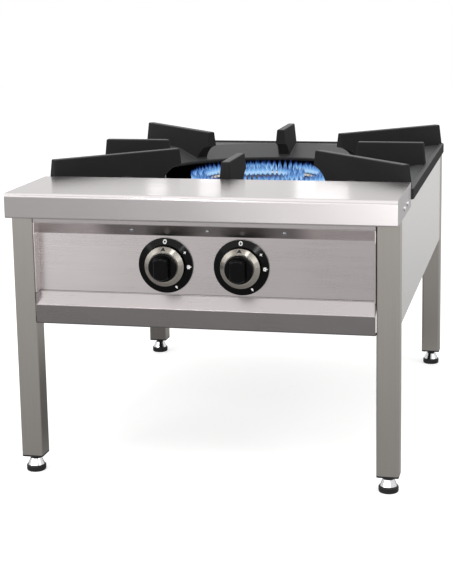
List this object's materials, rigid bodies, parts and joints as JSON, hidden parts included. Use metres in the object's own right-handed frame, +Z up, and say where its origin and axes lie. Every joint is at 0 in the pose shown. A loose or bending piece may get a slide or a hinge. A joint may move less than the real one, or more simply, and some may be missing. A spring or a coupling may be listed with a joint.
{
  "type": "gas stock pot stove",
  "caption": "Low floor-standing stainless gas stove with a square cast-iron pan support over a double-ring burner, a front ledge and a recessed panel with rotary taps.",
  "frame": {"origin": "on the floor, under the middle of the whole stove", "axes": "+Z up, the front with the knobs faces -Y, +X to the right seen from the front"},
  "size_m": [0.708, 0.946, 0.56],
  "materials": {
    "brushed_stainless": "brushed",
    "zinc_plated_steel": "zinc plated",
    "black_plastic": "moulded",
    "chrome": "polished",
    "black_cast_iron": "matte black enamel",
    "grey_cast_iron": "as cast",
    "brass": "turned",
    "aluminium": "satin",
    "gloss_black_plastic": "moulded gloss",
    "knob_steel": "spun and brushed",
    "copper": "drawn"
  },
  "bodies": {
    "root": {"burner_bar_front": "zinc_plated_steel", "burner_bar_rear": "zinc_plated_steel", "burner_bolts": "zinc_plated_steel", "control_panel": "brushed_stainless", "dial_left": "gloss_black_plastic", "dial_right": "gloss_black_plastic", "front_cross_rail": "brushed_stainless", "front_ledge": "brushed_stainless", "gas_inlet": "brass", "injector_left": "brass", "injector_right": "brass", "inlet_locknut": "brass", "inner_burner": "grey_cast_iron", "ledge_screws": "zinc_plated_steel", "leg_front_left": "brushed_stainless", "leg_front_right": "brushed_stainless", "leg_plug_front_left": "black_plastic", "leg_plug_front_right": "black_plastic", "leg_plug_rear_left": "black_plastic", "leg_plug_rear_right": "black_plastic", "leg_rear_left": "brushed_stainless", "leg_rear_right": "brushed_stainless", "manifold_pipe": "zinc_plated_steel", "outer_burner": "grey_cast_iron", "pipe_clip": "zinc_plated_steel", "rear_panel": "brushed_stainless", "side_panel_left": "brushed_stainless", "side_panel_right": "brushed_stainless", "supply_pipe": "zinc_plated_steel", "tap_body_left": "brass", "tap_body_right": "brass", "tap_bonnet_left": "brass", "tap_bonnet_right": "brass", "tap_bonnet_screws": "zinc_plated_steel", "thermocouple_left": "copper", "thermocouple_right": "copper"},
    "grate": {"grate": "black_cast_iron"},
    "plug_left": {"tap_plug_left": "brass", "tap_spring_left": "zinc_plated_steel"},
    "knob_left": {"spindle_left": "zinc_plated_steel", "knob_skirt_left": "knob_steel", "knob_grip_left": "gloss_black_plastic"},
    "shutter_left": {"air_shutter_left": "aluminium"},
    "plug_right": {"tap_plug_right": "brass", "tap_spring_right": "zinc_plated_steel"},
    "knob_right": {"spindle_right": "zinc_plated_steel", "knob_skirt_right": "knob_steel", "knob_grip_right": "gloss_black_plastic"},
    "shutter_right": {"air_shutter_right": "aluminium"},
    "foot_front_left": {"foot_front_left": "black_plastic", "foot_cone_front_left": "chrome"},
    "foot_front_right": {"foot_front_right": "black_plastic", "foot_cone_front_right": "chrome"},
    "foot_rear_left": {"foot_rear_left": "black_plastic", "foot_cone_rear_left": "chrome"},
    "foot_rear_right": {"foot_rear_right": "black_plastic", "foot_cone_rear_right": "chrome"}
  },
  "joints": [
    {"name": "grate_lift", "type": "slide", "parent": "root", "child": "grate", "axis": [0, 0, 1], "range_m": [0, 0.12]},
    {"name": "knob_left_turn", "type": "hinge", "parent": "root", "child": "plug_left", "pos_m": [-0.069, -0.421, 0.3975], "axis": [0, 1, 0], "range_deg": [0, 155]},
    {"name": "knob_left_push", "type": "slide", "parent": "plug_left", "child": "knob_left", "axis": [0, 1, 0], "range_m": [0, 0.004], "stiffness_N_per_m": 1500, "springref_m": -0.003, "deforming": ["tap_spring_left"]},
    {"name": "air_shutter_left_slide", "type": "slide", "parent": "root", "child": "shutter_left", "axis": [0, -1, 0], "range_m": [0, 0.01]},
    {"name": "knob_right_turn", "type": "hinge", "parent": "root", "child": "plug_right", "pos_m": [0.069, -0.421, 0.3975], "axis": [0, 1, 0], "range_deg": [0, 155]},
    {"name": "knob_right_push", "type": "slide", "parent": "plug_right", "child": "knob_right", "axis": [0, 1, 0], "range_m": [0, 0.004], "stiffness_N_per_m": 1500, "springref_m": -0.003, "deforming": ["tap_spring_right"]},
    {"name": "air_shutter_right_slide", "type": "slide", "parent": "root", "child": "shutter_right", "axis": [0, -1, 0], "range_m": [0, 0.01]},
    {"name": "foot_front_left_screw", "type": "slide", "parent": "root", "child": "foot_front_left", "axis": [0, 0, -1], "range_m": [0, 0.02]},
    {"name": "foot_front_right_screw", "type": "slide", "parent": "root", "child": "foot_front_right", "axis": [0, 0, -1], "range_m": [0, 0.02]},
    {"name": "foot_rear_left_screw", "type": "slide", "parent": "root", "child": "foot_rear_left", "axis": [0, 0, -1], "range_m": [0, 0.02]},
    {"name": "foot_rear_right_screw", "type": "slide", "parent": "root", "child": "foot_rear_right", "axis": [0, 0, -1], "range_m": [0, 0.02]}
  ]
}
